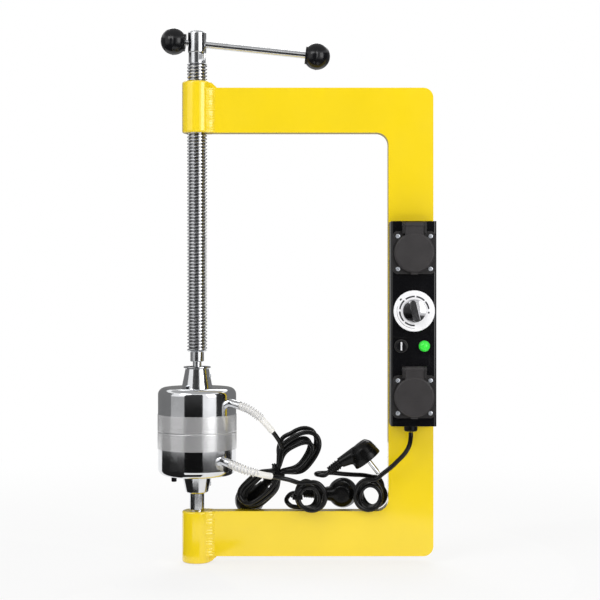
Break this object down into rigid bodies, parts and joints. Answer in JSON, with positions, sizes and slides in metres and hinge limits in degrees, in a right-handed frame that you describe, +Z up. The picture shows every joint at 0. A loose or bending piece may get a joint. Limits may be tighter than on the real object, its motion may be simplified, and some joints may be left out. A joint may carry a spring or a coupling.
{
  "type": "tire vulcanizer",
  "caption": "Bench tire vulcanizer: a flat C-frame with a lead screw that closes heated heads, tied leads with plugs, and a control box with lidded sockets and a dial.",
  "frame": {"origin": "centre of the lower boss's foot face, on the press axis", "axes": "+X from the press axis to the column, +Y away from the viewer, +Z up along the screw"},
  "size_m": [0.3315, 0.1285, 0.6433],
  "materials": {
    "frame_paint": "gloss enamel",
    "box_paint": "fine wrinkle paint",
    "chrome": "polished",
    "zinc": "bright zinc",
    "aluminium": "turned",
    "black_plastic": "moulded",
    "black_rubber": "smooth",
    "sleeve": "woven",
    "mineral": "matt",
    "brass": "plain",
    "dial_white": "moulded",
    "dial_metal": "satin",
    "lens": "translucent",
    "fuse_glass": "clear"
  },
  "bodies": {
    "frame": {"c_frame": "frame_paint", "upper_boss": "frame_paint", "lower_boss": "frame_paint", "weld_beads": "frame_paint", "lower_pin": "chrome", "lower_hub": "chrome", "lower_hub_screw": "zinc", "lower_cap": "chrome", "lower_cap_screw": "zinc", "lower_plate": "aluminium", "lower_heater": "zinc", "lower_insulation": "mineral", "lower_tube": "chrome", "lower_spring": "zinc", "lower_sleeve": "sleeve", "lower_lead": "black_rubber", "lower_hank": "black_rubber", "lower_tie": "black_plastic", "lower_plug": "black_rubber", "lower_plug_pins": "chrome", "box_housing": "box_paint", "box_screws": "zinc", "upper_socket": "black_plastic", "lower_socket": "black_plastic", "socket_contacts": "brass", "socket_screws": "zinc", "lid_pins": "zinc", "thermostat": "zinc", "fuse_holder": "black_plastic", "fuse": "fuse_glass", "lamp_body": "black_plastic", "lamp_lens": "lens", "cable_gland": "black_plastic", "mains_lead": "black_rubber", "mains_coil": "black_rubber", "mains_plug": "black_rubber", "mains_plug_pins": "chrome"},
    "upper_head": {"upper_hub": "chrome", "upper_hub_screw": "zinc", "upper_cap": "chrome", "upper_plate": "aluminium", "upper_heater": "zinc", "upper_insulation": "mineral", "upper_tube": "chrome", "upper_spring": "zinc", "upper_sleeve": "sleeve", "upper_lead": "black_rubber", "upper_hank": "black_rubber", "upper_tie": "black_plastic", "upper_plug": "black_rubber", "upper_plug_pins": "chrome"},
    "screw": {"lead_screw": "chrome"},
    "tommy_bar": {"tommy_bar": "chrome", "ball_knobs": "black_plastic"},
    "upper_lid": {"upper_lid": "black_plastic"},
    "lower_lid": {"lower_lid": "black_plastic"},
    "dial": {"dial_disc": "dial_white", "dial_grip": "dial_metal"},
    "fuse_cap": {"fuse_cap": "black_plastic"}
  },
  "joints": [
    {"name": "head_lift", "type": "slide", "parent": "frame", "child": "upper_head", "axis": [0, 0, 1], "range_m": [0, 0.2601]},
    {"name": "screw_turn", "type": "hinge", "parent": "upper_head", "child": "screw", "pos_m": [0, 0, 0.4], "axis": [0, 0, 1], "range_deg": [0, 23400]},
    {"name": "bar_slide", "type": "slide", "parent": "screw", "child": "tommy_bar", "axis": [0.9945, 0, -0.1045], "range_m": [-0.119, 0.002]},
    {"name": "upper_lid_swing", "type": "hinge", "parent": "frame", "child": "upper_lid", "pos_m": [0.257, -0.0601, 0.403], "axis": [-1, 0, 0], "range_deg": [0, 115], "stiffness_Nm_per_rad": 0.006, "springref_deg": -34.38},
    {"name": "lower_lid_swing", "type": "hinge", "parent": "frame", "child": "lower_lid", "pos_m": [0.257, -0.0601, 0.235], "axis": [-1, 0, 0], "range_deg": [0, 115], "stiffness_Nm_per_rad": 0.006, "springref_deg": -34.38},
    {"name": "dial_turn", "type": "hinge", "parent": "frame", "child": "dial", "pos_m": [0.257, -0.058, 0.303], "axis": [0, 1, 0], "range_deg": [-30, 240]},
    {"name": "fuse_cap_turn", "type": "hinge", "parent": "frame", "child": "fuse_cap", "pos_m": [0.242, -0.058, 0.262], "axis": [0, 1, 0], "range_deg": [-60, 0]}
  ],
  "couplings": [
    {"joint": "head_lift", "follows": "screw_turn", "m_per_rad": 0.00063662}
  ]
}
